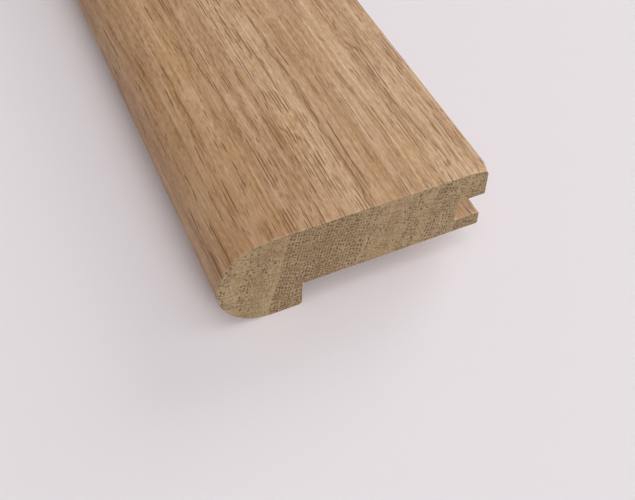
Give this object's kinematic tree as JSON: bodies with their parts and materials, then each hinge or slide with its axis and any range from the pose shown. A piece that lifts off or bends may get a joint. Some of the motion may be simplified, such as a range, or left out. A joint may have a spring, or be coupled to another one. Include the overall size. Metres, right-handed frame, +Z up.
{
  "type": "flush stair nosing threshold strip",
  "caption": "Solid oak threshold and stair nosing strip with a half-round nose and a groove along its back edge that takes a floor board's tongue.",
  "frame": {"origin": "middle of the strip's length and width, level with the underside of the nose", "axes": "+X along the strip, +Y from the nose towards the floor it edges, +Z up with the walking face on top"},
  "size_m": [0.9144, 0.0698, 0.027],
  "materials": {
    "oak": "planed and sanded white oak, unfinished"
  },
  "bodies": {
    "root": {"nosing_strip": "oak"}
  },
  "joints": []
}
